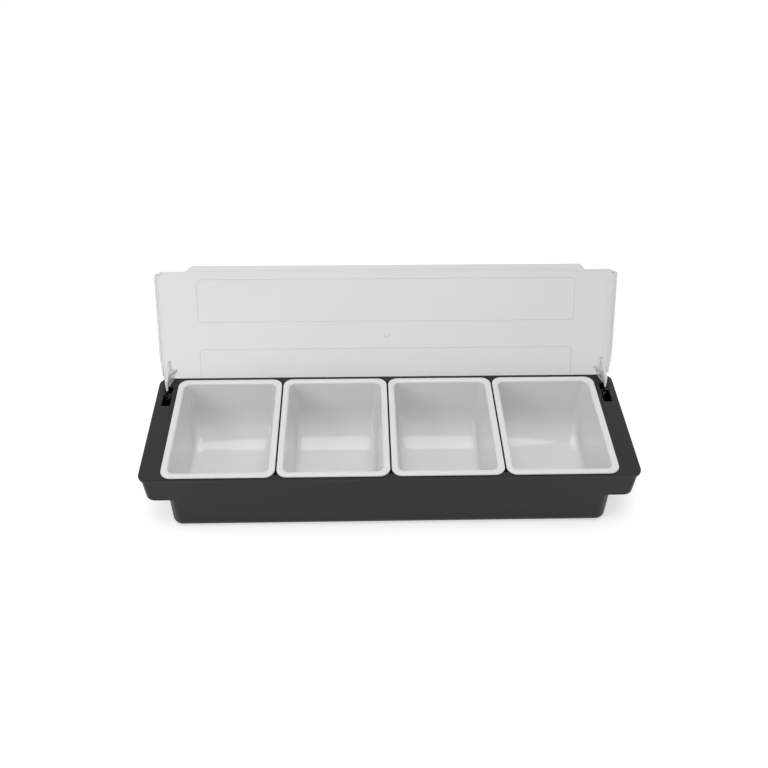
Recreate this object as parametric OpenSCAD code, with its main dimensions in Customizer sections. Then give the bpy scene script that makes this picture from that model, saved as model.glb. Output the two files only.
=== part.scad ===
// Counter caddy: a black tray holds four lift-out inserts under one clear hinged lid.
// Millimetres. X runs along the row, Y to the back and Z up.
// The origin is the centre of the flat underside of the tray.
// The lid is drawn wide open, leaning back on the tray.

/* [Inserts] */
// Length of one insert over its rim
insert_l = 110.5; // [95:0.5:130]
// Depth of one insert over its rim, front to back
insert_d = 145; // [125:1:165]
// Height of one insert over all
insert_h = 70.2; // [55:0.1:85]
// Gap between two rims
insert_gap = 1.5; // [0.6:0.1:6]
// Wall of an insert
insert_wall = 1.5; // [1:0.1:2.5]
// Floor of an insert
insert_floor = 1.8; // [1:0.1:3]
// Width of the rim outside the wall
rim_w = 5; // [3.5:0.1:7]
// Thickness of the rim
rim_t = 2; // [1.2:0.1:3.5]
// Radius of the rim's corners
rim_corner_r = 10; // [8:0.5:14]
// Radius of the corners inside an insert
cup_corner_r = 6.5; // [4:0.5:10]
// Slope of the insert walls, in degrees
draft_deg = 5; // [1:0.5:6]
// Radius that sweeps the front and back walls into the floor
scoop_r = 33; // [8:1:38]
// Radius that sweeps the side walls into the floor
side_sweep_r = 7; // [3:0.5:12]

/* [Tray] */
// Deck beyond the row of rims at each end
end_deck_l = 21.75; // [20.5:0.25:40]
// Deck in front of the rims
front_strip = 1; // [0.5:0.5:12]
// Deck behind the rims
back_strip = 6; // [3:0.5:20]
// Thickness of the deck
deck_t = 2.5; // [1.5:0.1:4]
// Height of the lip round the deck
lip_h = 4; // [2.5:0.1:8]
// Radius of the deck's corners
deck_corner_r = 9; // [4:0.5:14]
// Walls of the tray
tray_wall = 1.8; // [1.2:0.1:2.4]
// Floor of the tray
floor_t = 2.5; // [1.5:0.1:5]
// Step in from the deck's edge to the front and back walls
wall_setback = 2.5; // [1.5:0.1:3.2]
// Step in from the deck's ends to the top of the end walls
end_setback = 2.5; // [1.5:0.1:3.2]
// Depth of the stepped ends below the top of the deck
end_box_h = 31.3; // [24:0.1:45]
// Step in from the front and back of the stepped ends to those of the well
well_setback = 0.3; // [0.2:0.1:0.8]
// Slope of the end walls of the stepped ends, in degrees
end_draft_deg = 5; // [0:0.5:7]
// Slope of the end walls of the well, in degrees
well_draft_deg = 1; // [0:0.5:5]
// Radius of the upright corners of the stepped ends
end_corner_r = 5; // [4:0.5:8]
// Radius of the upright corners of the well
well_corner_r = 10; // [8.5:0.5:14]
// Radius round the foot of the well
well_foot_r = 8; // [3:0.5:8]
// Radius round the foot of the stepped ends
step_foot_r = 3; // [2.5:0.5:6]
// Radius of the small dot on each end deck
dot_r = 1.2; // [0.8:0.1:2]
// Height of the dot
dot_h = 0.5; // [0.3:0.1:1]
// Distance from the dot to the end of the deck
dot_end = 17; // [14:0.5:20]
// Distance from the dot to the front of the deck
dot_front = 18; // [10:1:40]

/* [Hinge] */
// Distance from the hinge axis to the back edge of the deck
pivot_setback = 21; // [19:0.5:24]
// Depth of the hinge axis below the top of the deck
pivot_drop = 6; // [5:0.5:8]
// Radius of the hinge pins
pin_r = 2.5; // [1.5:0.1:3]
// Radius of the eye round each pin
boss_r = 5; // [4:0.1:5]
// Thickness of the hinge arms
arm_t = 3; // [2:0.1:4]
// Width of a hinge arm where it bends over the deck
arm_w = 7; // [5:0.5:9]
// Height of a hinge arm where it meets the panel
arm_root = 11; // [9:0.5:16]
// Width of a slot in the deck
slot_w = 9.1; // [7.5:0.1:10]
// Distance from a slot to the end of the deck
slot_end = 7.4; // [7:0.1:9]
// Slot in front of the hinge axis
slot_front = 24; // [22:0.5:34]
// Slot behind the hinge axis
slot_back = 6; // [6:0.5:8]
// Thickness of the bearing walls under the deck
cheek_t = 3; // [2:0.1:3.5]
// Bearing wall round the eye of the arm
cheek_margin = 1; // [0.5:0.1:2]
// Pin short of the back of its bore
pin_short = 0.5; // [0.3:0.1:1]

/* [Lid] */
// Thickness of the lid
lid_t = 2.2; // [1.5:0.1:4]
// Height of the lid's inner face above the deck, when closed
lid_rise = 18.3; // [16:0.1:30]
// Lid edge in from the deck's ends
lid_end_inset = 2.5; // [0.5:0.1:4]
// Lid edge in from the deck's front
lid_front_inset = 2; // [0:0.5:6]
// Panel behind the hinge axis
lid_back = 8; // [6:0.5:8.5]
// Radius of the panel's corners
lid_corner_r = 3; // [1:0.5:8]
// Radius of the corners inside the end walls
lid_inner_r = 1; // [0.5:0.5:2]
// Wall at each end of the lid
lid_wall = 2.2; // [1.2:0.1:3]
// Length over which the end walls narrow towards the hinge
wall_taper = 25; // [10:1:60]
// Distance from the hinge axis to the start of the end walls
wall_start = 16; // [16:0.5:30]
// Depth of the end walls at their start
wall_start_h = 8; // [3:0.5:12]
// Depth of the rib under the front edge
front_rib_h = 3; // [1:0.5:8]
// Thickness of the finger lip
finger_t = 1.6; // [1:0.1:2]
// Reach of the finger lip past the front edge
finger_reach = 5.5; // [3:0.5:12]
// Panel edge left free at each end of the finger lip
finger_end = 30.5; // [10:0.5:120]
// Slant at each end of the finger lip
finger_slant = 5; // [2:0.5:12]
// Height of the raised fields on the lid
field_t = 0.6; // [0.3:0.1:1.5]
// Raised field to the end of the lid
field_end = 40; // [20:1:80]
// Raised field to the front edge of the panel
field_edge = 9.5; // [7:0.5:20]
// Raised field to the back edge of the panel
field_back_edge = 5; // [3:0.5:20]
// Plain band between the two raised fields
field_gap = 30; // [10:1:60]
// Radius of the raised fields' corners
field_corner_r = 5; // [2:0.5:10]
// Width of the moulding mark in the middle of the lid
mark_d = 6; // [3:0.5:10]
// Depth of the moulding mark
mark_depth = 0.3; // [0.2:0.1:0.6]
// Reach of the gusset beside each hinge arm
gusset_reach = 14; // [8:0.5:15]
// Width of the gusset at the panel
gusset_w = 6; // [3:0.5:7]
// Width of the gusset at its free end
gusset_tip_w = 2; // [1:0.5:3]
// Thickness of the gusset
gusset_t = 2.5; // [1.5:0.1:4]

/* [Clearances] */
// Round the insert walls where they pass the deck and the ledge
insert_clear = 0.75; // [0.4:0.05:2]
// Between the row of inserts and the end walls of the well
well_clear = 2.7; // [1:0.1:4]
// Under the insert rims
seat_clear = 0.2; // [0.1:0.05:0.5]
// Between the inserts and the tray floor
under_clear = 0.8; // [0.3:0.1:4]
// Radial play of the hinge pins
pin_clear = 0.05; // [0.02:0.01:0.1]
// Between a hinge arm and the sides of its slot
arm_side_clear = 0.4; // [0.3:0.05:1]
// Between a hinge arm and the deck when the lid is open
arm_deck_clear = 1; // [0.5:0.1:2]
// Between the open lid and the back wall that stops it
stop_clear = 0.4; // [0.3:0.05:1]
// Under the end walls of the closed lid
lid_seat_clear = 0.7; // [0.3:0.1:2]

/* [Hidden] */
$fn = 96;
insert_count = 4;
through = 1; // how far a cut runs past the face it opens
well_lap = 10; // how far the well runs up into the stepped ends

// The row of inserts
pitch = insert_l + insert_gap;
row_l = insert_count * pitch - insert_gap;
cup_l = insert_l - 2 * rim_w - 2 * insert_wall;
cup_d = insert_d - 2 * rim_w - 2 * insert_wall;
cup_h = insert_h - insert_floor;

// The tray
deck_l = row_l + 2 * end_deck_l;
deck_d = front_strip + insert_d + back_strip;
deck_h = floor_t + under_clear + insert_h - rim_t - seat_clear;
insert_y = (front_strip - back_strip) / 2;
body_l = row_l - 2 * rim_w;
body_d = insert_d - 2 * rim_w;
body_corner_r = cup_corner_r + insert_wall;
box_l = deck_l - 2 * end_setback;
tray_d = deck_d - 2 * wall_setback;
ledge_z = deck_h - end_box_h;
ledge_draft = (end_box_h + rim_t + seat_clear - tray_wall) * tan(draft_deg);
well_l = body_l - 2 * ledge_draft + 2 * well_clear + 2 * tray_wall;
well_d = tray_d - 2 * well_setback;
well_top = ledge_z + well_lap;
well_top_l = well_l + 2 * well_lap * tan(well_draft_deg);

// The hinge, measured from its axis: Y to the back and Z up
pivot_y = deck_d / 2 - pivot_setback;
pivot_z = deck_h - pivot_drop;
panel_h = pivot_drop + lid_rise;
stop_y = pivot_setback - wall_setback + stop_clear;
corner_reach = sqrt(pow(lid_back, 2) + pow(panel_h, 2));
open_deg = atan2(panel_h, lid_back) + acos(stop_y / corner_reach);
slot_out_x = deck_l / 2 - slot_end;
slot_in_x = slot_out_x - slot_w;
arm_out_x = slot_out_x - arm_side_clear;
arm_in_x = arm_out_x - arm_t;
pin_end_x = slot_in_x - cheek_t + pin_short;
cheek_r = boss_r + cheek_margin;

// The lid, drawn closed
lid_l = deck_l - 2 * lid_end_inset;
lid_reach = deck_d - pivot_setback - lid_front_inset;
panel_d = lid_reach + lid_back;
panel_mid_y = (lid_back - lid_reach) / 2;
field_d = (panel_d - field_edge - field_back_edge - field_gap) / 2;
field_mid_y = (lid_back - field_back_edge - lid_reach + field_edge) / 2;
wall_foot_z = pivot_drop + lid_seat_clear;

echo(str("open_deg=", open_deg, " deck_h=", deck_h, " pivot_y=", pivot_y, " pivot_z=", pivot_z));
echo(str("deck_l=", deck_l, " deck_d=", deck_d, " well_l=", well_l, " lid_reach=", lid_reach));

// A rectangle with round corners, centred
module round_rect(l, d, r) {
    square([l - 2 * r, d], center = true);
    square([l, d - 2 * r], center = true);
    for (sx = [-1, 1], sy = [-1, 1])
        translate([sx * (l / 2 - r), sy * (d / 2 - r)])
            circle(r);
}

// Section through a hollow or a block: sloping sides swept into a flat floor, with its top at zero
module swept_section(top_l, h, sweep_r, tilt) {
    half = top_l / 2;
    centre_x = half - (h - sweep_r) * tan(tilt) - sweep_r / cos(tilt);
    touch_x = centre_x + sweep_r * cos(tilt);
    touch_y = sweep_r - h - sweep_r * sin(tilt);
    polygon([
        [-half, 0], [half, 0], [touch_x, touch_y], [centre_x, sweep_r - h], [centre_x, -h],
        [-centre_x, -h], [-centre_x, sweep_r - h], [-touch_x, touch_y]
    ]);
    for (sx = [-1, 1])
        translate([sx * centre_x, sweep_r - h])
            circle(sweep_r);
}

// A swept form with its top at zero: front and back take one radius and slope, the sides another
module swept_form(l, d, h, corner_r, front_sweep, side_sweep, front_tilt, side_tilt) {
    intersection() {
        translate([0, 0, -h])
            linear_extrude(h)
                round_rect(l, d, corner_r);
        rotate([90, 0, 0])
            linear_extrude(d + 2 * through, center = true)
                swept_section(l, h, side_sweep, side_tilt);
        rotate([90, 0, 90])
            linear_extrude(l + 2 * through, center = true)
                swept_section(d, h, front_sweep, front_tilt);
    }
}

// A block with upright front and back and sloping ends, with its top at zero
module end_form(l, d, h, corner_r, foot_r) {
    intersection() {
        translate([0, 0, -h])
            linear_extrude(h)
                round_rect(l, d, corner_r);
        rotate([90, 0, 0])
            linear_extrude(d + 2 * through, center = true)
                swept_section(l, h, foot_r, end_draft_deg);
    }
}

// One insert, by its place in the row
module insert(place) {
    color("white")
        translate([(place - (insert_count - 1) / 2) * pitch, insert_y, deck_h + seat_clear + rim_t])
            difference() {
                union() {
                    swept_form(cup_l + 2 * insert_wall, cup_d + 2 * insert_wall, insert_h, body_corner_r,
                        scoop_r + insert_wall, side_sweep_r + insert_wall, draft_deg, draft_deg);
                    translate([0, 0, -rim_t])
                        linear_extrude(rim_t)
                            round_rect(insert_l, insert_d, rim_corner_r);
                }
                swept_form(cup_l, cup_d, cup_h, cup_corner_r, scoop_r, side_sweep_r, draft_deg, draft_deg);
                linear_extrude(through)
                    round_rect(cup_l, cup_d, cup_corner_r);
            }
}

// The outside of the tray: deck, stepped ends and well
module tray_outside() {
    translate([0, 0, deck_h - lip_h])
        linear_extrude(lip_h)
            round_rect(deck_l, deck_d, deck_corner_r);
    translate([0, 0, deck_h - deck_t])
        end_form(box_l, tray_d, end_box_h - deck_t, end_corner_r, step_foot_r);
    translate([0, 0, well_top])
        swept_form(well_top_l, well_d, well_top, well_corner_r, well_foot_r, well_foot_r, 0, well_draft_deg);
}

// The hollow of the tray, and the opening for the inserts
module tray_inside() {
    translate([0, 0, deck_h - deck_t])
        end_form(box_l - 2 * tray_wall, tray_d - 2 * tray_wall, end_box_h - tray_wall - deck_t,
            end_corner_r - tray_wall, step_foot_r - tray_wall);
    translate([0, 0, well_top])
        swept_form(well_top_l - 2 * tray_wall, well_d - 2 * tray_wall, well_top - floor_t,
            well_corner_r - tray_wall, well_foot_r - tray_wall, well_foot_r - tray_wall, 0, well_draft_deg);
    translate([0, insert_y, deck_h - deck_t - through])
        linear_extrude(deck_t + 2 * through)
            round_rect(body_l + 2 * insert_clear, body_d + 2 * insert_clear, body_corner_r);
}

// A slot through the deck for one hinge arm
module arm_slot() {
    translate([slot_in_x, pivot_y - slot_front, deck_h - lip_h - through])
        cube([slot_w, slot_front + slot_back, lip_h + 2 * through]);
}

// The bearing wall beside a slot, hanging from the deck
module cheek() {
    translate([slot_in_x - cheek_t, pivot_y, pivot_z])
        rotate([90, 0, 90])
            linear_extrude(cheek_t) {
                circle(cheek_r);
                translate([-cheek_r, 0])
                    square([2 * cheek_r, pivot_drop - deck_t / 2]);
            }
}

// The bore that takes a hinge pin
module pin_bore() {
    translate([slot_in_x - cheek_t - through, pivot_y, pivot_z])
        rotate([0, 90, 0])
            cylinder(r = pin_r + pin_clear, h = cheek_t + 2 * through);
}

module base_tray() {
    color("#2e302f")
        difference() {
            union() {
                difference() {
                    tray_outside();
                    tray_inside();
                }
                for (side = [0, 1])
                    mirror([side, 0, 0]) {
                        cheek();
                        translate([deck_l / 2 - dot_end, dot_front - deck_d / 2, deck_h - dot_h])
                            cylinder(r = dot_r, h = 2 * dot_h);
                    }
            }
            for (side = [0, 1])
                mirror([side, 0, 0]) {
                    arm_slot();
                    pin_bore();
                }
        }
}

// The lid's shell, drawn closed: panel, front rib and end walls cut away towards the hinge
module lid_shell() {
    rib_half = lid_l / 2 - lid_corner_r - lid_wall;
    cut_z = wall_foot_z - through;
    difference() {
        translate([0, panel_mid_y, wall_foot_z])
            linear_extrude(panel_h + lid_t - wall_foot_z)
                round_rect(lid_l, panel_d, lid_corner_r);
        translate([0, panel_mid_y, cut_z])
            linear_extrude(panel_h - cut_z)
                round_rect(lid_l - 2 * lid_wall, panel_d - 2 * lid_wall, lid_inner_r);
        translate([-rib_half, -lid_reach - through, cut_z])
            cube([2 * rib_half, lid_wall + 2 * through, panel_h - front_rib_h - cut_z]);
        rotate([90, 0, 90])
            linear_extrude(lid_l + 2 * through, center = true)
                polygon([
                    [-wall_start - wall_taper - through, cut_z], [-wall_start - wall_taper, wall_foot_z],
                    [-wall_start, panel_h - wall_start_h], [-wall_start, panel_h],
                    [lid_back + through, panel_h], [lid_back + through, cut_z]
                ]);
    }
}

// The two raised fields and the finger lip, drawn closed
module lid_trim() {
    lip_half = lid_l / 2 - finger_end;
    for (sy = [-1, 1])
        translate([0, field_mid_y + sy * (field_gap + field_d) / 2, panel_h + lid_t / 2])
            linear_extrude(lid_t / 2 + field_t)
                round_rect(lid_l - 2 * field_end, field_d, field_corner_r);
    translate([0, -lid_reach, panel_h + (lid_t - finger_t) / 2])
        linear_extrude(finger_t)
            polygon([
                [-lip_half, through], [-lip_half, 0], [finger_slant - lip_half, -finger_reach],
                [lip_half - finger_slant, -finger_reach], [lip_half, 0], [lip_half, through]
            ]);
}

// The round mark in the middle of the lid
module lid_mark() {
    translate([0, field_mid_y, panel_h + lid_t - mark_depth])
        cylinder(d = mark_d, h = mark_depth + through);
}

// How far behind the axis the open panel's inner face is, at a height above the axis
function panel_y(z) = panel_h * sin(open_deg) - (z - panel_h * cos(open_deg)) / tan(open_deg);

// A hinge arm and its pin, drawn open: it bends over the deck and down through the slot
module hinge_arm() {
    foot_z = pivot_drop + arm_deck_clear;
    root_z = foot_z + arm_root;
    heel_y = slot_back - arm_deck_clear;
    grip = lid_t / 2;
    translate([arm_in_x, 0, 0])
        rotate([90, 0, 90])
            linear_extrude(arm_t) {
                circle(boss_r);
                polygon([
                    [-boss_r, 0], [heel_y, 0], [heel_y, foot_z], [panel_y(foot_z) + grip, foot_z],
                    [panel_y(root_z) + grip, root_z], [slot_back, foot_z + arm_w]
                ]);
            }
    translate([pin_end_x, 0, 0])
        rotate([0, 90, 0])
            cylinder(r = pin_r, h = arm_in_x - pin_end_x + arm_t / 2);
}

// The small web that braces a hinge arm against the panel, drawn closed
module hinge_gusset() {
    foot_y = (pivot_drop + arm_deck_clear - panel_h * cos(open_deg)) / sin(open_deg);
    translate([arm_in_x + arm_t / 2, -foot_y - gusset_t / 2, panel_h + lid_t / 2])
        rotate([90, 0, 0])
            linear_extrude(gusset_t, center = true)
                polygon([
                    [0, 0], [-gusset_w - arm_t / 2, 0], [-gusset_tip_w - arm_t / 2, -gusset_reach],
                    [0, -gusset_reach]
                ]);
}

module lid() {
    color([0.88, 0.9, 0.91, 0.6])
        translate([0, pivot_y, pivot_z]) {
            rotate([-open_deg, 0, 0]) {
                difference() {
                    union() {
                        lid_shell();
                        lid_trim();
                    }
                    lid_mark();
                }
                for (side = [0, 1])
                    mirror([side, 0, 0])
                        hinge_gusset();
            }
            for (side = [0, 1])
                mirror([side, 0, 0])
                    hinge_arm();
        }
}

base_tray();
insert(0);  // insert_1
insert(1);  // insert_2
insert(2);  // insert_3
insert(3);  // insert_4
lid();
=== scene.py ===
"""Counter condiment caddy: a black tray, four white lift-out inserts and one clear lid standing open.

Every size in the making of a piece is in millimetres, in the frame of the part's source.
"""

import math

import bmesh
import bpy
from mathutils import Matrix, Vector


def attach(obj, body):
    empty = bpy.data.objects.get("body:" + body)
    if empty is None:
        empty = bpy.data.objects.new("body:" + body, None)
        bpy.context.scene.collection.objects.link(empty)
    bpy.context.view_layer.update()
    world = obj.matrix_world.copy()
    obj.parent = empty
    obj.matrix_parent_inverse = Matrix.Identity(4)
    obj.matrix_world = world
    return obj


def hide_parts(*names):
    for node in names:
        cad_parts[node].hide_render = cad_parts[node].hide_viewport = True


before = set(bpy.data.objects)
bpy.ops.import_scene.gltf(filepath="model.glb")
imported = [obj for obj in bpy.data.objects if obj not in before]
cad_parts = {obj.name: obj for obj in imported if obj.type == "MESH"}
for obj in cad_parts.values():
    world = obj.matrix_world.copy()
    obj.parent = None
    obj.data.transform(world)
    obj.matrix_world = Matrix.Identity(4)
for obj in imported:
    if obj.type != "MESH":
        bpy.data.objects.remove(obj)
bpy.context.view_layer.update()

MM = 0.001
CORNER_STEPS = 10      # edges round each upright corner
ROUND_STEPS = 48       # edges round a pin, an eye or a bore
ROUND_WEIGHT = 0.7071  # gives a right-angled bend a true circular arc
SHARP_DEG = 32.0       # a bend above this stays a crease

# Tray
DECK_HALF_L, DECK_HALF_D, DECK_R = 245.0, 76.0, 9.0
DECK_Z, DECK_T, LIP_H = 71.3, 2.5, 4.0
END_HALF_L, END_HALF_D, END_R = 242.5, 73.5, 5.0
LEDGE_Z, END_DRAFT, WELL_DRAFT = 40.0, math.radians(5), math.radians(1)
WELL_HALF_L, WELL_HALF_D, WELL_R = 220.0, 73.2, 10.0
FLUSH_HALF_D = 73.4    # front and back of the well, nearly level with those of the stepped ends
WALL, FLOOR_T = 1.8, 2.5
OPENING_HALF_L, OPENING_HALF_D, OPENING_R, OPENING_Y = 219.0, 68.25, 8.0, -2.5
SLOT_IN, SLOT_OUT, SLOT_FRONT, SLOT_BACK = 228.5, 237.6, 31.0, 61.0
SLOT_EDGE_R = 0.8      # rounding round the top of a slot
DOT_X, DOT_Y, DOT_R, DOT_H = 228.0, -58.0, 1.2, 0.5

# Inserts
INSERT_PITCH, INSERT_Y, RIM_TOP = 112.0, -2.5, 73.5
RIM_HALF_L, RIM_HALF_D, RIM_R, RIM_T = 55.25, 72.5, 10.0, 2.0
CUP_HALF_L, CUP_HALF_D, CUP_R, CUP_H = 48.75, 66.0, 6.5, 68.4
CUP_WALL, CUP_FLOOR_T, CUP_DRAFT = 1.5, 1.8, math.radians(5)
FRONT_SWEEP, SIDE_SWEEP = 37.0, 7.0  # the front one is 4 mm above the source's, nearer the photograph
SWEEP_STEPS = 22
GATE_R, GATE_DEPTH = 6.0, 0.15

# Lid, drawn closed about the hinge axis, then opened
PIVOT_Y, PIVOT_Z, OPEN = 55.0, 65.3, math.radians(114.151)
PANEL_H, LID_T, LID_HALF_L, LID_REACH, LID_BACK = 24.3, 2.2, 242.5, 129.0, 8.0
LID_R, LID_INNER_R, LID_WALL, WALL_FOOT = 3.0, 1.0, 2.2, 6.7
WALL_START, WALL_TAPER, WALL_START_H, RIB_H = 16.0, 25.0, 8.0, 3.0
FIELD_HALF_L, FIELD_HALF_D, FIELD_R, FIELD_T = 202.5, 23.125, 5.0, 0.6
FIELD_MID, FIELD_OFFSET = -58.25, 38.125
FINGER_HALF_L, FINGER_REACH, FINGER_T, FINGER_SLANT = 212.0, 5.5, 1.6, 5.0
FINGER_R, FINGER_EDGE_R = 2.5, 0.5
MARK_R, MARK_DEPTH = 3.0, 0.3
ARM_IN, ARM_T, BOSS_R, PIN_R, PIN_END = 234.2, 3.0, 5.0, 2.5, 226.0
ARM_START, ARM_FOOT, ARM_ROOT, ARM_W, ARM_HEEL, ARM_CROWN = 5.3, 7.0, 18.0, 7.0, 5.0, 6.0
ARM_TOE, ARM_THINNED, ARM_BEND_R, ARM_EDGE_R = 0.5, 1.5, 2.0, 0.4
GUSSET_REACH, GUSSET_W, GUSSET_TIP_W, GUSSET_T = 14.0, 6.0, 2.0, 2.5
WEB_Z, WEB_T, WEB_IN, WEB_TAB, WEB_TOE_X, WEB_TOE_Y = 7.0, 1.2, 229.6, 15.0, 232.6, 6.0
WEB_EDGE_R = 0.35
CHEEK_T, CHEEK_R, BORE_R = 3.0, 6.0, 2.55
PANEL_MID = (LID_BACK - LID_REACH) / 2
PANEL_HALF_D = (LID_BACK + LID_REACH) / 2

# Studio
FLOOR_WHITE, FLOOR_GLOW = 0.8, 0.5  # the floor's own colour, and the white added where it is only seen
AMBIENT = 0.55                      # how strongly the surroundings light the caddy


# Shapes

def rounded_loop(bm, ring):
    """Adds one rounded rectangle, given as half length, half depth, corner radius, height and centre y."""
    half_l, half_d, corner_r, z, centre_y = ring
    known = set(bm.edges)
    plate = bmesh.ops.create_grid(bm, x_segments=1, y_segments=1, size=1.0)["verts"]
    bmesh.ops.scale(bm, vec=(half_l, half_d, 1.0), verts=plate)
    bmesh.ops.translate(bm, vec=(0.0, centre_y, z), verts=plate)
    bmesh.ops.bevel(bm, geom=plate, offset=corner_r, offset_type="OFFSET", segments=CORNER_STEPS,
                    profile=0.5, affect="VERTICES", material=-1)
    edges = [e for e in bm.edges if e not in known]
    bmesh.ops.delete(bm, geom=list({f for e in edges for f in e.link_faces}), context="FACES_ONLY")
    return edges


def towards(ring, other, reach):
    """The ring that lies a given distance from one ring on the way to another."""
    share = reach / max(abs(a - b) for a, b in zip(ring, other))
    return tuple(a + (b - a) * share for a, b in zip(ring, other))


def softened(corners):
    """Turns (ring, radius, steps) corners into a path of rings whose bends are rounded."""
    path = []
    for at, (ring, radius, steps) in enumerate(corners):
        if not radius:
            path.append(ring)
            continue
        start = towards(ring, corners[at - 1][0], radius)
        end = towards(ring, corners[at + 1][0], radius)
        for step in range(steps + 1):
            t = step / steps
            weights = ((1 - t) ** 2, 2 * t * (1 - t) * ROUND_WEIGHT, t * t)
            path.append(tuple(sum(w * v for w, v in zip(weights, values)) / sum(weights)
                              for values in zip(start, ring, end)))
    return path


def reshaped(coordinate, centre, half, corner_r, new_centre, new_half, new_r):
    """Where a point of one rounded side goes on the next, with its place round the corner kept."""
    side = math.copysign(1.0, coordinate - centre)
    turn = (abs(coordinate - centre) - half + corner_r) / corner_r
    return new_centre + side * (new_half - new_r + turn * new_r)


def loft(bm, rings):
    """A closed skin through a row of rings, each one extruded from the last."""
    edges = rounded_loop(bm, rings[0])
    bmesh.ops.edgeloop_fill(bm, edges=edges)
    for (half_l, half_d, corner_r, _, centre), ring in zip(rings, rings[1:]):
        made = bmesh.ops.extrude_edge_only(bm, edges=edges)["geom"]
        verts = [g for g in made if isinstance(g, bmesh.types.BMVert)]
        for vert in verts:
            vert.co = (reshaped(vert.co.x, 0.0, half_l, corner_r, 0.0, ring[0], ring[2]),
                       reshaped(vert.co.y, centre, half_d, corner_r, ring[4], ring[1], ring[2]), ring[3])
        edges = [g for g in made if isinstance(g, bmesh.types.BMEdge) and g.is_boundary]
    bmesh.ops.edgeloop_fill(bm, edges=edges)
    bmesh.ops.recalc_face_normals(bm, faces=bm.faces)
    return bm


def plate_from(points, thickness):
    """A plate of one outline in the YZ plane, standing from x = 0 to its thickness."""
    bm = bmesh.new()
    corners = [bm.verts.new((0.0, y, z)) for y, z in points]
    face = bm.faces.new(corners)
    made = bmesh.ops.extrude_face_region(bm, geom=[face])["geom"]
    far_side = [g for g in made if isinstance(g, bmesh.types.BMVert)]
    bmesh.ops.translate(bm, vec=(thickness, 0.0, 0.0), verts=far_side)
    if len(bm.faces) == len(points) + 1:
        bmesh.ops.holes_fill(bm, edges=bm.edges, sides=0)
    bmesh.ops.recalc_face_normals(bm, faces=bm.faces)
    return bm


def round_edges(bm, edges, radius, steps=3):
    bmesh.ops.bevel(bm, geom=list(edges), offset=radius, offset_type="OFFSET", segments=steps, profile=0.5,
                    affect="EDGES", clamp_overlap=True, material=-1)


def along_x(edge):
    return abs((edge.verts[0].co - edge.verts[1].co).normalized().x) > 0.99


def rod(radius, x0, x1):
    """A round bar along the X axis."""
    bm = bmesh.new()
    bmesh.ops.create_cone(bm, cap_ends=True, segments=ROUND_STEPS, radius1=radius, radius2=radius,
                          depth=x1 - x0)
    bmesh.ops.rotate(bm, cent=(0, 0, 0), matrix=Matrix.Rotation(math.pi / 2, 3, "Y"), verts=bm.verts)
    bmesh.ops.translate(bm, vec=((x0 + x1) / 2, 0, 0), verts=bm.verts)
    return bm


def mirrored(bm):
    """A copy of a mesh on the other side of the middle of the row."""
    other = bm.copy()
    bmesh.ops.scale(other, vec=(-1, 1, 1), verts=other.verts)
    bmesh.ops.reverse_faces(other, faces=other.faces)
    return other


def object_from(bm, name):
    mesh = bpy.data.meshes.new(name)
    bm.to_mesh(mesh)
    bm.free()
    made = bpy.data.objects.new(name, mesh)
    bpy.context.scene.collection.objects.link(made)
    return made


def combined(base, others, operation):
    """Joins closed meshes to a base, or cuts them out of it, into one closed mesh."""
    host = object_from(base, "host")
    tools = [object_from(bm, "tool") for bm in others]
    for tool in tools:
        cut = host.modifiers.new("join", "BOOLEAN")
        cut.operation, cut.solver, cut.object = operation, "EXACT", tool
    bpy.context.view_layer.update()
    graph = bpy.context.evaluated_depsgraph_get()
    bm = bmesh.new()
    bm.from_mesh(host.evaluated_get(graph).to_mesh())
    for made in [host] + tools:
        mesh = made.data
        bpy.data.objects.remove(made)
        bpy.data.meshes.remove(mesh)
    return bm


def finish_piece(bm, name, material, slot, body, *nodes):
    """Makes a mesh in millimetres into a piece in metres that rides on a body."""
    bmesh.ops.scale(bm, vec=(MM, MM, MM), verts=bm.verts)
    piece = object_from(bm, name)
    piece.data.shade_smooth()
    piece.data.set_sharp_from_angle(angle=math.radians(SHARP_DEG))
    flat = piece.modifiers.new("flat faces stay flat", "WEIGHTED_NORMAL")
    flat.keep_sharp = True
    piece.data.materials.append(material)
    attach(piece, body)
    if nodes:
        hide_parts(*nodes)
    return piece


# Tray, as meshes

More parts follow.
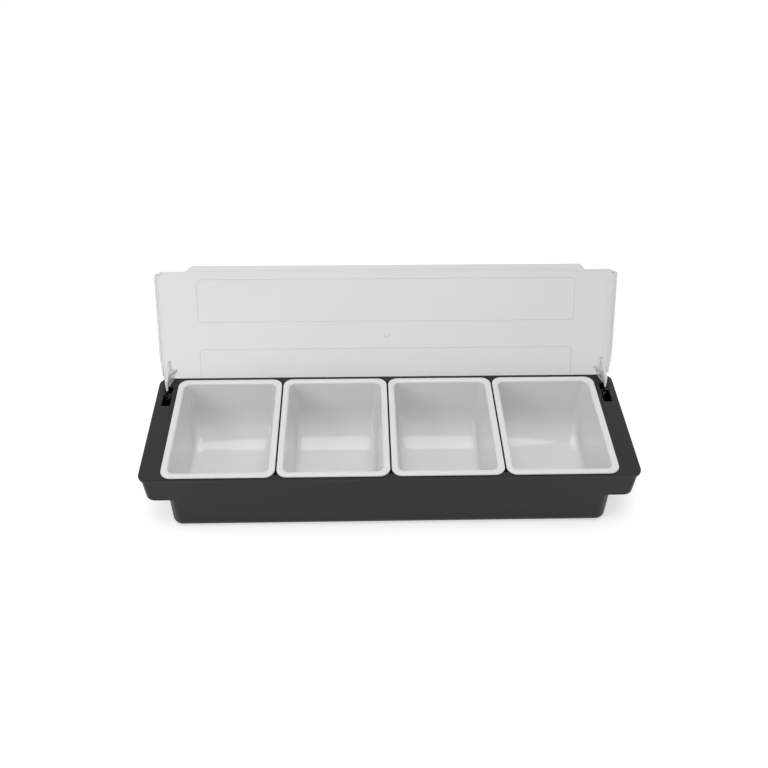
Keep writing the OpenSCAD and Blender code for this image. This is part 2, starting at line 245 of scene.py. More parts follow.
def tray_rings():
    foot_l = WELL_HALF_L - LEDGE_Z * math.tan(WELL_DRAFT)
    ledge_l = END_HALF_L - (DECK_Z - DECK_T - LEDGE_Z) * math.tan(END_DRAFT)
    lip_z, under_z, shelf_z = DECK_Z - LIP_H, DECK_Z - DECK_T, LEDGE_Z + WALL
    inner_l = foot_l - WALL
    outside = [
        ((foot_l - 9, WELL_HALF_D - 9, 1.0, 0.0, 0.0), 0, 0),
        ((foot_l, WELL_HALF_D, WELL_R, 0.0, 0.0), 8, 9),
        ((WELL_HALF_L, FLUSH_HALF_D, WELL_R, LEDGE_Z, 0.0), 1.2, 3),
        ((ledge_l, END_HALF_D, END_R, LEDGE_Z, 0.0), 3, 6),
        ((END_HALF_L, END_HALF_D, END_R, lip_z, 0.0), 0.6, 2),
        ((DECK_HALF_L, DECK_HALF_D, DECK_R, lip_z, 0.0), 0.7, 3),
        ((DECK_HALF_L, DECK_HALF_D, DECK_R, DECK_Z, 0.0), 1.7, 6),
    ]
    opening = [
        ((OPENING_HALF_L, OPENING_HALF_D, OPENING_R, DECK_Z, OPENING_Y), 0.8, 4),
        ((OPENING_HALF_L, OPENING_HALF_D, OPENING_R, under_z, OPENING_Y), 0.4, 2),
    ]
    inside = [
        ((END_HALF_L - WALL, END_HALF_D - WALL, END_R - WALL, under_z, 0.0), 0.6, 2),
        ((ledge_l - WALL, END_HALF_D - WALL, END_R - WALL, shelf_z, 0.0), 1.2, 3),
        ((WELL_HALF_L - WALL, FLUSH_HALF_D - WALL, WELL_R - WALL, shelf_z, 0.0), 0.8, 3),
        ((inner_l, WELL_HALF_D - WALL, WELL_R - WALL, FLOOR_T, 0.0), 6.2, 7),
        ((inner_l - 7.2, WELL_HALF_D - WALL - 7.2, 1.0, FLOOR_T, 0.0), 0, 0),
    ]
    return softened(outside + opening + inside)


def deck_faces(bm, side, z):
    """The faces of one end deck at one height."""
    return [f for f in bm.faces if all(abs(v.co.z - z) < 1e-4 for v in f.verts)
            and side * f.calc_center_median().x > 200]


def cut_slot(bm, side):
    """Cuts the slot for a hinge arm through one end of the deck."""
    low, high = sorted((side * SLOT_IN, side * SLOT_OUT))
    rims = []
    for z in (DECK_Z, DECK_Z - DECK_T):
        for point, normal in (((low, 0, z), (1, 0, 0)), ((high, 0, z), (1, 0, 0)),
                              ((0, SLOT_FRONT, z), (0, 1, 0)), ((0, SLOT_BACK, z), (0, 1, 0))):
            faces = deck_faces(bm, side, z)
            edges = {e for f in faces for e in f.edges}
            verts = {v for f in faces for v in f.verts}
            bmesh.ops.bisect_plane(bm, geom=faces + list(edges) + list(verts), plane_co=point, plane_no=normal,
                                   dist=1e-5)
        hole = [f for f in deck_faces(bm, side, z) if low < f.calc_center_median().x < high
                and SLOT_FRONT < f.calc_center_median().y < SLOT_BACK]
        rim = {e for f in hole for e in f.edges if sum(g in hole for g in e.link_faces) == 1}
        bmesh.ops.delete(bm, geom=hole, context="FACES_KEEP_BOUNDARY")
        rims.append([e for e in rim if e.is_valid])
    bmesh.ops.bridge_loops(bm, edges=rims[0] + rims[1])
    round_edges(bm, [e for e in rims[0] if e.is_valid], SLOT_EDGE_R, 4)


def make_tray(material):
    bm = loft(bmesh.new(), tray_rings())
    for side in (-1, 1):
        cut_slot(bm, side)
    bmesh.ops.recalc_face_normals(bm, faces=bm.faces)
    finish_piece(bm, "tray_shell", material, "tray_plastic", "base", "base_tray")


def make_cheek(side, material):
    """The bearing wall beside a slot, an arch that hangs from the deck with the bore for a hinge pin."""
    bm = bmesh.new()
    arch = bmesh.ops.create_circle(bm, segments=ROUND_STEPS, radius=CHEEK_R)["verts"]
    for vert in arch:
        if vert.co.y > 1e-4:
            vert.co.y = DECK_Z - DECK_T - PIVOT_Z + 0.2
    bore = bmesh.ops.create_circle(bm, segments=ROUND_STEPS, radius=BORE_R)["verts"]
    loops = [list({e for v in verts for e in v.link_edges}) for verts in (arch, bore)]
    faces = bmesh.ops.bridge_loops(bm, edges=loops[0] + loops[1])["faces"]
    bmesh.ops.solidify(bm, geom=faces, thickness=CHEEK_T)
    bmesh.ops.recalc_face_normals(bm, faces=bm.faces)
    turn = Matrix(((0, 0, 1), (1, 0, 0), (0, 1, 0)))
    bmesh.ops.rotate(bm, cent=(0, 0, 0), matrix=turn, verts=bm.verts)
    low = min(v.co.x for v in bm.verts)
    bmesh.ops.translate(bm, vec=(SLOT_IN - CHEEK_T - low, PIVOT_Y, PIVOT_Z), verts=bm.verts)
    if side < 0:
        bm = mirrored(bm)
    name = "hinge_cheek_left" if side < 0 else "hinge_cheek_right"
    finish_piece(bm, name, material, "tray_plastic", "base")


def make_dot(side, material):
    """The small raised dot on an end deck."""
    bm = bmesh.new()
    bmesh.ops.create_uvsphere(bm, u_segments=24, v_segments=12, radius=DOT_R)
    bmesh.ops.bisect_plane(bm, geom=bm.verts[:] + bm.edges[:] + bm.faces[:], plane_co=(0, 0, 0),
                           plane_no=(0, 0, -1), clear_outer=True)
    bmesh.ops.holes_fill(bm, edges=bm.edges, sides=0)
    bmesh.ops.scale(bm, vec=(1, 1, (DOT_H + 0.1) / DOT_R), verts=bm.verts)
    bmesh.ops.translate(bm, vec=(side * DOT_X, DOT_Y, DECK_Z - 0.1), verts=bm.verts)
    bmesh.ops.recalc_face_normals(bm, faces=bm.faces)
    finish_piece(bm, "deck_dot_left" if side < 0 else "deck_dot_right", material, "tray_plastic", "base")


# Inserts, as meshes

def swept_half(half_top, height, sweep_r, above_floor):
    """Half width of a sloping wall that sweeps into a flat floor, at a height above that floor."""
    centre = half_top - (height - sweep_r) * math.tan(CUP_DRAFT) - sweep_r / math.cos(CUP_DRAFT)
    if above_floor >= sweep_r * (1 - math.sin(CUP_DRAFT)):
        return half_top - (height - above_floor) * math.tan(CUP_DRAFT)
    return centre + math.sqrt(max(0.0, sweep_r ** 2 - (sweep_r - above_floor) ** 2))


def cup_rings(half_l, half_d, corner_r, height, front_r, side_r, top_z):
    """Rings down one skin of an insert, from under its rim to its flat floor."""
    heights = [height * share for share in (0.955, 0.8, 0.6)]
    first = front_r * (1 - math.sin(CUP_DRAFT))
    heights += [h for h in (0.5 * (first + 0.6 * height),) if h > first]
    for step in range(SWEEP_STEPS + 1):
        angle = CUP_DRAFT + (math.pi / 2 - CUP_DRAFT) * step / SWEEP_STEPS
        heights.append(front_r * (1 - math.sin(angle)))
    rings = []
    for h in heights:
        grown = corner_r + 2.0 * min(1.0, (height - h) / height)
        rings.append((swept_half(half_l, height, side_r, h), swept_half(half_d, height, front_r, h), grown,
                      top_z - height + h, INSERT_Y))
    return rings


def insert_rings():
    """One path from the gate mark in the floor, up the inside, over the rim and down the outside."""
    inside = cup_rings(CUP_HALF_L, CUP_HALF_D, CUP_R, CUP_H, FRONT_SWEEP, SIDE_SWEEP, RIM_TOP)[::-1]
    out_l, out_d, out_r = CUP_HALF_L + CUP_WALL, CUP_HALF_D + CUP_WALL, CUP_R + CUP_WALL
    outside = cup_rings(out_l, out_d, out_r, CUP_H + CUP_FLOOR_T, FRONT_SWEEP + CUP_WALL,
                        SIDE_SWEEP + CUP_WALL, RIM_TOP)
    slope = math.tan(CUP_DRAFT)
    under = RIM_TOP - RIM_T
    rim = [
        (inside[-1], 0, 0),
        ((CUP_HALF_L, CUP_HALF_D, CUP_R, RIM_TOP, INSERT_Y), 1.9, 7),
        ((RIM_HALF_L, RIM_HALF_D, RIM_R, RIM_TOP, INSERT_Y), 0.9, 5),
        ((RIM_HALF_L, RIM_HALF_D, RIM_R, under, INSERT_Y), 0.5, 3),
        ((out_l - RIM_T * slope, out_d - RIM_T * slope, out_r, under, INSERT_Y), 0.6, 3),
        (outside[0], 0, 0),
    ]
    floor_z = RIM_TOP - CUP_H
    gate = [(r, r, r - 0.01, floor_z - depth, INSERT_Y) for r, depth in
            ((GATE_R - 0.9, 0.04), (GATE_R - 0.3, GATE_DEPTH), (GATE_R, 0.0))]
    return gate + inside[:-1] + softened(rim) + outside[1:]


def make_inserts(material):
    bm = loft(bmesh.new(), insert_rings())
    for place in range(4):
        cup = bm.copy()
        bmesh.ops.translate(cup, vec=((place - 1.5) * INSERT_PITCH, 0, 0), verts=cup.verts)
        finish_piece(cup, f"insert_cup_{place + 1}", material, "insert_plastic", f"insert_{place + 1}",
                     f"insert_{place + 1}")
    bm.free()


# Lid, as meshes

def lid_shell():
    """Panel with walls all round, as one moulded shell, drawn closed."""
    top = PANEL_H + LID_T
    inner = (LID_HALF_L - LID_WALL, PANEL_HALF_D - LID_WALL)
    return loft(bmesh.new(), softened([
        ((LID_HALF_L - 4, PANEL_HALF_D - 4, 0.5, top, PANEL_MID), 0, 0),
        ((LID_HALF_L, PANEL_HALF_D, LID_R, top, PANEL_MID), 0.8, 4),
        ((LID_HALF_L, PANEL_HALF_D, LID_R, WALL_FOOT, PANEL_MID), 0.5, 3),
        ((*inner, LID_INNER_R, WALL_FOOT, PANEL_MID), 0.5, 3),
        ((*inner, LID_INNER_R, PANEL_H, PANEL_MID), 0.7, 3),
        ((inner[0] - 2, inner[1] - 2, 0.4, PANEL_H, PANEL_MID), 0, 0),
    ]))


def lid_cutters():
    """What leaves the shell as two end walls, narrowing towards the hinge, and a rib under the front edge."""
    below = WALL_FOOT - 1
    span = LID_HALF_L + 1
    back = plate_from([(-WALL_START - WALL_TAPER - 1, below), (-WALL_START - WALL_TAPER, WALL_FOOT),
                       (-WALL_START, PANEL_H - WALL_START_H), (-WALL_START, PANEL_H),
                       (LID_BACK + 1, PANEL_H), (LID_BACK + 1, below)], 2 * span)
    bmesh.ops.translate(back, vec=(-span, 0, 0), verts=back.verts)
    rib_half = LID_HALF_L - LID_R - LID_WALL
    front = plate_from([(-LID_REACH - 1, below), (-LID_REACH - 1, PANEL_H - RIB_H),
                        (-LID_REACH + LID_WALL + 1, PANEL_H - RIB_H), (-LID_REACH + LID_WALL + 1, below)],
                       2 * rib_half)
    bmesh.ops.translate(front, vec=(-rib_half, 0, 0), verts=front.verts)
    return [back, front]


def raised_field(y):
    """One of the two raised fields, with softened edges."""
    foot, top = PANEL_H + LID_T / 2, PANEL_H + LID_T + FIELD_T
    return loft(bmesh.new(), softened([
        ((FIELD_HALF_L, FIELD_HALF_D, FIELD_R, foot, y), 0, 0),
        ((FIELD_HALF_L, FIELD_HALF_D, FIELD_R, top, y), 0.45, 4),
        ((FIELD_HALF_L - 2, FIELD_HALF_D - 2, FIELD_R - 2, top, y), 0, 0),
    ]))


def finger_lip():
    """The thin lip along the front edge, with slanted ends and a rounded rim."""
    bm = bmesh.new()
    lip = bmesh.ops.create_grid(bm, x_segments=1, y_segments=1, size=1.0)["verts"]
    for vert in lip:
        outer = vert.co.y < 0
        vert.co.x *= FINGER_HALF_L - (FINGER_SLANT if outer else -1.5)
        vert.co.y = -LID_REACH - FINGER_REACH if outer else -LID_REACH + 1.5
        vert.co.z = PANEL_H + (LID_T - FINGER_T) / 2
    bmesh.ops.bevel(bm, geom=[v for v in lip if v.co.y < -LID_REACH], offset=FINGER_R, offset_type="OFFSET",
                    segments=6, profile=0.5, affect="VERTICES", material=-1)
    bmesh.ops.solidify(bm, geom=bm.faces[:], thickness=FINGER_T)
    low = min(v.co.z for v in bm.verts)
    bmesh.ops.translate(bm, vec=(0, 0, PANEL_H + (LID_T - FINGER_T) / 2 - low), verts=bm.verts)
    bmesh.ops.recalc_face_normals(bm, faces=bm.faces)
    rim = [e for e in bm.edges if e.calc_face_angle(0) > 1 and abs(e.verts[0].co.z - e.verts[1].co.z) < 1e-4
           and min(v.co.y for v in e.verts) < -LID_REACH]
    round_edges(bm, rim, FINGER_EDGE_R, 3)
    return bm


def moulding_mark():
    """The round recess in the middle of the panel."""
    bm = bmesh.new()
    bmesh.ops.create_cone(bm, cap_ends=True, segments=40, radius1=MARK_R - 0.3, radius2=MARK_R + 0.5,
                          depth=1.0)
    bmesh.ops.translate(bm, vec=(0, FIELD_MID, PANEL_H + LID_T - MARK_DEPTH + 0.5), verts=bm.verts)
    return bm


def panel_y(z):
    """How far behind the axis the open panel's inner face is, at a height above the axis."""
    return PANEL_H * math.sin(OPEN) - (z - PANEL_H * math.cos(OPEN)) / math.tan(OPEN)


def hinge_arm():
    """The part of a hinge arm that shows, drawn open: from its slot back to the panel, thinner at its foot."""
    grip = LID_T / 2
    arm = plate_from([(ARM_TOE, ARM_START), (ARM_HEEL, ARM_START), (ARM_HEEL, ARM_FOOT),
                      (panel_y(ARM_FOOT) + grip, ARM_FOOT), (panel_y(ARM_ROOT) + grip, ARM_ROOT),
                      (ARM_CROWN, ARM_FOOT + ARM_W)], ARM_T)
    bends = [e for e in arm.edges if along_x(e) and e.verts[0].co.z > ARM_FOOT - 1 and e.verts[0].co.y < 20]
    round_edges(arm, bends, ARM_BEND_R, 5)
    long_edges = [e for e in arm.edges if not along_x(e) and e.calc_face_angle(0) > 1
                  and max(v.co.z for v in e.verts) > ARM_START + 0.1]
    round_edges(arm, long_edges, ARM_EDGE_R, 2)
    for vert in arm.verts:
        if vert.co.x > ARM_T / 2:
            down = (ARM_FOOT + ARM_W - vert.co.z) / (ARM_FOOT + ARM_W - ARM_START)
            vert.co.x -= ARM_THINNED * min(1.0, max(0.0, down))
    bmesh.ops.translate(arm, vec=(ARM_IN, 0, 0), verts=arm.verts)
    return arm


def hinge_eye():
    """The foot of an arm inside its slot, with the pin it turns on."""
    top = ARM_START - 0.02
    foot = plate_from([(-BOSS_R, 0), (ARM_HEEL, 0), (ARM_HEEL, top), (-BOSS_R, top)], ARM_T)
    bmesh.ops.translate(foot, vec=(ARM_IN, 0, 0), verts=foot.verts)
    eye = rod(BOSS_R, ARM_IN, ARM_IN + ARM_T)
    pin = rod(PIN_R, PIN_END, ARM_IN + ARM_T / 2)
    return combined(foot, [eye, pin], "UNION")


def hinge_web():
    """The thin level web beside an arm, wide at the panel and tapering to the arm's foot, drawn open."""
    back = panel_y(WEB_Z) + 0.6
    outline = [(WEB_IN, back), (WEB_IN, back - WEB_TAB), (WEB_TOE_X, WEB_TOE_Y),
               (ARM_IN + 0.3, WEB_TOE_Y), (ARM_IN + 0.3, back)]
    web = plate_from([(y, -x) for x, y in outline], WEB_T)
    free = [e for e in web.edges if all(v.co.x > WEB_T / 2 for v in e.verts)
            and not all(v.co.z < -ARM_IN for v in e.verts) and not all(v.co.y > back - 1 for v in e.verts)]
    round_edges(web, free, WEB_EDGE_R, 3)
    bmesh.ops.rotate(web, cent=(0, 0, 0), matrix=Matrix.Rotation(-math.pi / 2, 3, "Y"), verts=web.verts)
    bmesh.ops.translate(web, vec=(0, 0, WEB_Z), verts=web.verts)
    return web


def hinge_gusset():
    """The small web that braces a hinge arm against the panel, drawn closed."""
    foot = (ARM_FOOT - PANEL_H * math.cos(OPEN)) / math.sin(OPEN)
    reach = ARM_T / 2
    web = plate_from([(0, 0.6), (-GUSSET_W - reach, 0.6), (-GUSSET_TIP_W - reach, -GUSSET_REACH),
                      (0, -GUSSET_REACH)], GUSSET_T)
    round_edges(web, [e for e in web.edges if all(v.co.y < -1 and v.co.z < 0.5 for v in e.verts)], 0.4, 2)
    bmesh.ops.rotate(web, cent=(0, 0, 0), matrix=Matrix.Rotation(-math.pi / 2, 3, "Z"), verts=web.verts)
    bmesh.ops.translate(web, vec=(ARM_IN + reach, -foot, PANEL_H + 0.4), verts=web.verts)
    return web


def opened(bm):
    """Turns a piece of the lid from closed to open."""
    bmesh.ops.rotate(bm, cent=(0, 0, 0), matrix=Matrix.Rotation(-OPEN, 3, "X"), verts=bm.verts)
    return bm


def at_hinge(bm):
    bmesh.ops.translate(bm, vec=(0, PIVOT_Y, PIVOT_Z), verts=bm.verts)
    bmesh.ops.remove_doubles(bm, verts=bm.verts, dist=1e-4)
    return bm


def make_lid(clear, piped_light_white, piped_light_haze):
    shell = combined(lid_shell(), lid_cutters(), "DIFFERENCE")
    trim = [raised_field(FIELD_MID - FIELD_OFFSET), raised_field(FIELD_MID + FIELD_OFFSET), finger_lip()]
    panel = combined(combined(shell, trim, "UNION"), [moulding_mark()], "DIFFERENCE")
    finish_piece(at_hinge(opened(panel)), "lid_panel", clear, "lid_plastic", "lid", "lid")
    arm, eye = combined(hinge_arm(), [opened(hinge_gusset())], "UNION"), hinge_eye()
    # the arms above the deck take the painted-white lit copy of the clear plastic; the pins in the slot keep
    # the plain clear one
    finish_piece(at_hinge(mirrored(arm)), "hinge_arm_left", piped_light_white, "lid_plastic", "lid")
    finish_piece(at_hinge(arm), "hinge_arm_right", piped_light_white, "lid_plastic", "lid")
    finish_piece(at_hinge(mirrored(eye)), "hinge_pin_left", clear, "lid_plastic", "lid")
    finish_piece(at_hinge(eye), "hinge_pin_right", clear, "lid_plastic", "lid")
    web = hinge_web()
    # the webs take the faintly painted-white lit copy of the clear plastic
    finish_piece(at_hinge(mirrored(web)), "hinge_web_left", piped_light_haze, "lid_plastic", "lid")
    finish_piece(at_hinge(web), "hinge_web_right", piped_light_haze, "lid_plastic", "lid")


# Materials

def add(tree, kind, **settings):
    made = tree.nodes.new(kind)
    for key, value in settings.items():
        setattr(made, key, value)
    return made


def group(name, inputs, outputs):
    """An empty shader node group with named sockets."""
    tree = bpy.data.node_groups.new(name, "ShaderNodeTree")
    for label, default, low, high in inputs:
        socket = tree.interface.new_socket(label, in_out="INPUT", socket_type="NodeSocketFloat")
        socket.default_value, socket.min_value, socket.max_value = default, low, high
    for label in outputs:
        tree.interface.new_socket(label, in_out="OUTPUT", socket_type="NodeSocketFloat")
    return tree, add(tree, "NodeGroupInput"), add(tree, "NodeGroupOutput")


def math_node(tree, operation, first, second, clamp=False):
    made = add(tree, "ShaderNodeMath", operation=operation, use_clamp=clamp)
    for socket, value in zip(made.inputs, (first, second)):
        if isinstance(value, (int, float)):
            socket.default_value = value
        else:
            tree.links.new(value, socket)
    return made.outputs[0]


def noise(tree, scale, detail, roughness=0.5, distortion=0.0):
    """Noise on Object coordinates; scale is a number or a socket, in cells a metre."""
    place = add(tree, "ShaderNodeTexCoord")
    made = add(tree, "ShaderNodeTexNoise")
    tree.links.new(place.outputs["Object"], made.inputs["Vector"])
    if isinstance(scale, (int, float)):
        made.inputs["Scale"].default_value = scale
    else:
        tree.links.new(scale, made.inputs["Scale"])
    made.inputs["Detail"].default_value = detail
    made.inputs["Roughness"].default_value = roughness
    made.inputs["Distortion"].default_value = distortion
    return made.outputs["Fac"]


def moulded_grain_group():
    """Spark-eroded mould texture: Height for a bump, and Mask with the same speckle from 0 to 1."""
    tree, start, end = group("moulded grain", [("Scale", 900.0, 1.0, 5000.0), ("Depth", 1.0, 0.0, 4.0)],
                             ("Height", "Mask"))
    cells = add(tree, "ShaderNodeTexVoronoi", feature="SMOOTH_F1")
    place = add(tree, "ShaderNodeTexCoord")
    tree.links.new(place.outputs["Object"], cells.inputs["Vector"])
    tree.links.new(start.outputs["Scale"], cells.inputs["Scale"])
    fine = noise(tree, math_node(tree, "MULTIPLY", start.outputs["Scale"], 1.7), 3.0, 0.6)
    mixed = math_node(tree, "MULTIPLY_ADD", fine, 0.6)
    tree.links.new(cells.outputs["Distance"], mixed.node.inputs[2])
    tree.links.new(math_node(tree, "MULTIPLY", mixed, start.outputs["Depth"]), end.inputs["Height"])
    tree.links.new(math_node(tree, "MULTIPLY", mixed, 0.8, clamp=True), end.inputs["Mask"])
    return tree


def handling_group():
    """Faint smudges and rubbed streaks: Roughness between clean and rubbed, and the Mask itself."""
    tree, start, end = group("handling marks", [("Size", 14.0, 1.0, 200.0), ("Clean", 0.3, 0.0, 1.0),
                                                ("Rubbed", 0.45, 0.0, 1.0), ("Amount", 0.5, 0.0, 1.0)],
                             ("Roughness", "Mask"))
    cloud = noise(tree, start.outputs["Size"], 5.0, 0.62, 0.8)
    streak = noise(tree, math_node(tree, "MULTIPLY", start.outputs["Size"], 9.0), 6.0, 0.7, 2.5)
    both = math_node(tree, "MULTIPLY", math_node(tree, "SUBTRACT", cloud, 0.42), 3.0, clamp=True)
    both = math_node(tree, "MULTIPLY", both, math_node(tree, "MULTIPLY", streak, 1.6, clamp=True))
    mask = math_node(tree, "MULTIPLY", both, start.outputs["Amount"], clamp=True)
    gap = math_node(tree, "SUBTRACT", start.outputs["Rubbed"], start.outputs["Clean"])
    rough = math_node(tree, "MULTIPLY_ADD", mask, gap)
    tree.links.new(start.outputs["Clean"], rough.node.inputs[2])
    tree.links.new(rough, end.inputs["Roughness"])
    tree.links.new(mask, end.inputs["Mask"])
    return tree


def scratch_group():
    """Hairline scratches in two directions: Height for a bump, and Mask."""
    tree, start, end = group("hairline scratches", [("Scale", 60.0, 1.0, 500.0), ("Amount", 0.5, 0.0, 1.0)],
                             ("Height", "Mask"))
    total = None
    place = add(tree, "ShaderNodeTexCoord")
    for turn, stretch in ((0.35, (1.0, 24.0, 24.0)), (-0.8, (24.0, 1.0, 24.0))):
        spread = add(tree, "ShaderNodeMapping")
        spread.inputs["Rotation"].default_value = (turn, 0.3 * turn, turn)
        spread.inputs["Scale"].default_value = stretch
        tree.links.new(place.outputs["Object"], spread.inputs["Vector"])
        lines = add(tree, "ShaderNodeTexNoise")
        lines.inputs["Detail"].default_value = 2.0
        tree.links.new(spread.outputs["Vector"], lines.inputs["Vector"])
        tree.links.new(start.outputs["Scale"], lines.inputs["Scale"])
        above = math_node(tree, "SUBTRACT", lines.outputs["Fac"], 0.66)
        peak = math_node(tree, "MULTIPLY", above, 9.0, clamp=True)
        total = peak if total is None else math_node(tree, "MAXIMUM", total, peak)
    mask = math_node(tree, "MULTIPLY", total, start.outputs["Amount"], clamp=True)
    tree.links.new(mask, end.inputs["Mask"])
    tree.links.new(math_node(tree, "MULTIPLY", mask, -1.0), end.inputs["Height"])
    return tree


def flow_and_shade_group():
    """Slow colour change of moulded plastic at random, from 0 to 1, plus a lean along X that is painted shade:
    one side of a piece lighter, the other darker.
    """
    tree, start, end = group("flow tone", [("Size", 6.0, 0.5, 60.0), ("Contrast", 1.0, 0.0, 4.0),
                                           ("Lean", 0.0, -4.0, 4.0)], ("Tone",))
    cloud = noise(tree, start.outputs["Size"], 3.0, 0.5, 0.4)
    centred = math_node(tree, "SUBTRACT", cloud, 0.5)
    place = add(tree, "ShaderNodeTexCoord")
    along = add(tree, "ShaderNodeSeparateXYZ")
    tree.links.new(place.outputs["Object"], along.inputs[0])
    # painted shade: a ramp along X that makes one side of the piece lighter than the other
    lean = math_node(tree, "MULTIPLY_ADD", along.outputs["X"], start.outputs["Lean"])
    lean.node.inputs[2].default_value = 0.5
    tone = math_node(tree, "MULTIPLY_ADD", centred, start.outputs["Contrast"], clamp=True)
    tree.links.new(lean, tone.node.inputs[2])
    tree.links.new(tone, end.inputs["Tone"])
    return tree


def place_group(tree, source, **values):
    made = add(tree, "ShaderNodeGroup", node_tree=source)
    for label, value in values.items():
        made.inputs[label].default_value = value
    return made


def tone_between(tree, factor, dark, light):
    mixed = add(tree, "ShaderNodeMix", data_type="RGBA")
    mixed.inputs[6].default_value, mixed.inputs[7].default_value = (*dark, 1.0), (*light, 1.0)
    tree.links.new(factor, mixed.inputs[0])
    return mixed.outputs[2]


def bump(tree, height, distance_mm, strength, under=None):
    made = add(tree, "ShaderNodeBump")
    made.inputs["Distance"].default_value = distance_mm * MM
    made.inputs["Strength"].default_value = strength
    tree.links.new(height, made.inputs["Height"])
    if under is not None:
        tree.links.new(under, made.inputs["Normal"])
    return made.outputs["Normal"]


def plastic(name, groups, dark, light, flow_and_shade, rough, grain, scratches, ior_level):
    """A moulded plastic built from the shared groups."""
    made = bpy.data.materials.new(name)
    made.use_nodes = True
    tree = made.node_tree
    shader = tree.nodes["Principled BSDF"]
    shader.inputs["Specular IOR Level"].default_value = ior_level
    # the third flow_and_shade entry is the painted-shade lean along X; the first two are random moulded tone
    tone = place_group(tree, groups["flow_and_shade"], Size=flow_and_shade[0], Contrast=flow_and_shade[1], Lean=flow_and_shade[2])
    tree.links.new(tone_between(tree, tone.outputs["Tone"], dark, light), shader.inputs["Base Color"])
    marks = place_group(tree, groups["handling"], Size=rough[0], Clean=rough[1], Rubbed=rough[2],
                        Amount=rough[3])
    tree.links.new(marks.outputs["Roughness"], shader.inputs["Roughness"])
    texture = place_group(tree, groups["grain"], Scale=grain[0], Depth=1.0)
    lines = place_group(tree, groups["scratches"], Scale=scratches[0], Amount=scratches[1])
    base = bump(tree, texture.outputs["Height"], grain[1], grain[2])
    tree.links.new(bump(tree, lines.outputs["Height"], 0.02, 0.5, base), shader.inputs["Normal"])
    return made, shader


def make_materials():
    groups = {"grain": moulded_grain_group(), "handling": handling_group(), "scratches": scratch_group(),
              "flow_and_shade": flow_and_shade_group()}
    # the tray's tone leans along X (-1.2): painted shade, lighter at the left end and darker at the right
    black, _ = plastic("satin black moulded plastic", groups, (0.0085, 0.0100, 0.0092),
                       (0.0125, 0.0140, 0.0130), (7.0, 1.4, -1.2), (16.0, 0.34, 0.46, 0.6),
                       (1400.0, 0.03, 0.35), (40.0, 0.25), 0.26)
    white, _ = plastic("glossy white moulded plastic", groups, (0.715, 0.72, 0.715), (0.745, 0.75, 0.745),
                       (9.0, 1.2, 0.0), (20.0, 0.05, 0.10, 0.5), (240.0, 0.01, 0.08), (55.0, 0.15), 0.5)
    # the lid's tone leans along X (-2.0): painted shade, lighter at the left end and darker at the right
    clear, shader = plastic("clear moulded plastic", groups, (0.535, 0.535, 0.535), (0.60, 0.60, 0.60),
                            (5.0, 0.5, -2.0), (12.0, 0.05, 0.12, 0.6), (90.0, 0.01, 0.05), (45.0, 0.3), 0.5)
    shader.inputs["Transmission Weight"].default_value = 1.0
    shader.inputs["IOR"].default_value = 1.3
    # the hinge arms are clear plastic; this copy is painted mostly white, a painted highlight for the light
    # they pipe edge-on
    piped_light_white, shader = plastic("clear plastic painted white for light piped along the arms", groups, (0.84, 0.84, 0.84),
                            (0.90, 0.90, 0.90), (30.0, 1.0, 0.0), (12.0, 0.10, 0.2, 0.6), (90.0, 0.01, 0.05),
                            (45.0, 0.3), 0.5)
    shader.inputs["Transmission Weight"].default_value = 0.3
    shader.inputs["IOR"].default_value = 1.3
    # the webs are clear plastic; this copy gets a fifth of painted white, a painted highlight for light piped
    # through the thin webs
    piped_light_haze, shader = plastic("clear plastic with a faint painted white for piped light", groups, (0.80, 0.80, 0.80),
                           (0.86, 0.86, 0.86), (30.0, 1.0, 0.0), (12.0, 0.10, 0.2, 0.6), (90.0, 0.01, 0.05),
                           (45.0, 0.3), 0.5)
    shader.inputs["Transmission Weight"].default_value = 0.8
    shader.inputs["IOR"].default_value = 1.3
    return black, white, clear, piped_light_white, piped_light_haze


# Stage, light and camera

def white_for_view(tree, lit, strength):
    """Adds plain white to what the camera, gloss and clear plastic see, over the lit surface."""
    path = add(tree, "ShaderNodeLightPath")
    seen = math_node(tree, "MAXIMUM", path.outputs["Is Camera Ray"], path.outputs["Is Glossy Ray"])
    seen = math_node(tree, "MAXIMUM", seen, path.outputs["Is Transmission Ray"])
    glow = add(tree, "ShaderNodeEmission")
    tree.links.new(math_node(tree, "MULTIPLY", seen, strength), glow.inputs["Strength"])
    total = add(tree, "ShaderNodeAddShader")
    tree.links.new(lit, total.inputs[0])
    tree.links.new(glow.outputs[0], total.inputs[1])
    return total.outputs[0]


def make_floor():
    bm = bmesh.new()
    bmesh.ops.create_grid(bm, x_segments=8, y_segments=8, size=9.0)
    floor = object_from(bm, "floor")
    paint = bpy.data.materials.new("studio floor")
    paint.use_nodes = True
    tree = paint.node_tree
    tree.nodes.remove(tree.nodes["Principled BSDF"])
    matt = add(tree, "ShaderNodeBsdfDiffuse")
    matt.inputs["Color"].default_value = (FLOOR_WHITE, FLOOR_WHITE, FLOOR_WHITE, 1.0)
    surface = tree.nodes["Material Output"].inputs["Surface"]
    tree.links.new(white_for_view(tree, matt.outputs[0], FLOOR_GLOW), surface)
    floor.data.materials.append(paint)


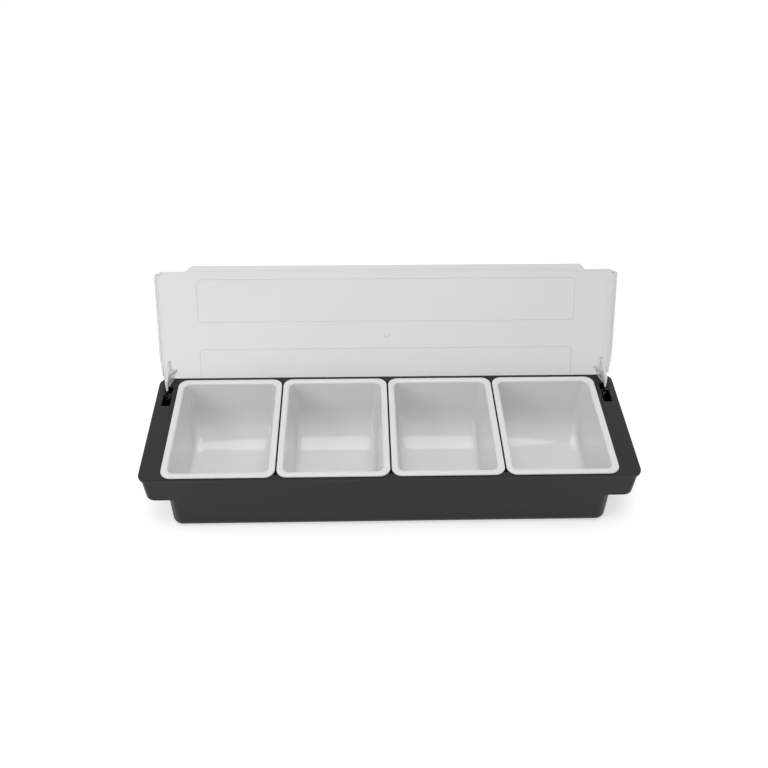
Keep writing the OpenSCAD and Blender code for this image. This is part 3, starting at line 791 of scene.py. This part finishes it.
def make_world():
    world = bpy.data.worlds.new("studio")
    bpy.context.scene.world = world
    world.use_nodes = True
    tree = world.node_tree
    path = add(tree, "ShaderNodeLightPath")
    seen = math_node(tree, "MAXIMUM", path.outputs["Is Camera Ray"], path.outputs["Is Glossy Ray"])
    seen = math_node(tree, "MAXIMUM", seen, path.outputs["Is Transmission Ray"])
    level = math_node(tree, "MULTIPLY_ADD", seen, 1.0 - AMBIENT)
    level.node.inputs[2].default_value = AMBIENT
    tree.links.new(level, tree.nodes["Background"].inputs["Strength"])
    tree.nodes["Background"].inputs["Color"].default_value = (1.0, 1.0, 1.0, 1.0)


def make_lamp(name, place, target, length, depth, power):
    """A soft oval lamp that faces a point."""
    data = bpy.data.lights.new(name, "AREA")
    data.shape, data.size, data.size_y, data.energy = "ELLIPSE", length, depth, power
    lamp = bpy.data.objects.new(name, data)
    bpy.context.scene.collection.objects.link(lamp)
    lamp.location = place
    aim = Vector(target) - Vector(place)
    if aim.xy.length > 1e-6:
        lamp.rotation_euler = aim.to_track_quat("-Z", "Y").to_euler()
    return lamp


def make_camera():
    """The photograph's view: about 40 degrees down, a little left of the middle."""
    elevation, yaw, roll = math.radians(40.525), math.radians(1.929), math.radians(0.6968)
    level = math.cos(elevation)
    ahead = Vector((math.sin(yaw) * level, math.cos(yaw) * level, -math.sin(elevation)))
    right = Vector((math.cos(yaw), -math.sin(yaw), 0.0))
    up = right.cross(ahead)
    rolled = math.cos(roll) * right + math.sin(roll) * up
    upright = -math.sin(roll) * right + math.cos(roll) * up
    data = bpy.data.cameras.new("camera")
    data.sensor_width, data.lens = 36.0, 44.0046
    camera = bpy.data.objects.new("camera", data)
    bpy.context.scene.collection.objects.link(camera)
    turn = Matrix((rolled, upright, -ahead)).transposed().to_4x4()
    camera.matrix_world = Matrix.Translation(Vector((-29.433, -705.511, 728.483)) * MM) @ turn
    bpy.context.scene.camera = camera


def make_stage():
    make_camera()
    make_floor()
    make_world()
    make_lamp("overhead lamp", (0.0, 0.17, 1.55), (0.0, 0.17, 0.0), 1.0, 1.5, 9.6)
    make_lamp("side lamp", (-1.0, -0.8, 0.75), (0.0, 0.0, 0.1), 0.7, 0.7, 3.6)
    bpy.context.scene.view_settings.view_transform = "Standard"


# All of it

make_stage()
black_plastic, white_plastic, clear_plastic, piped_light_white_plastic, piped_light_haze_plastic = make_materials()
make_tray(black_plastic)
for side in (-1, 1):
    make_cheek(side, black_plastic)
    make_dot(side, black_plastic)
make_inserts(white_plastic)
make_lid(clear_plastic, piped_light_white_plastic, piped_light_haze_plastic)
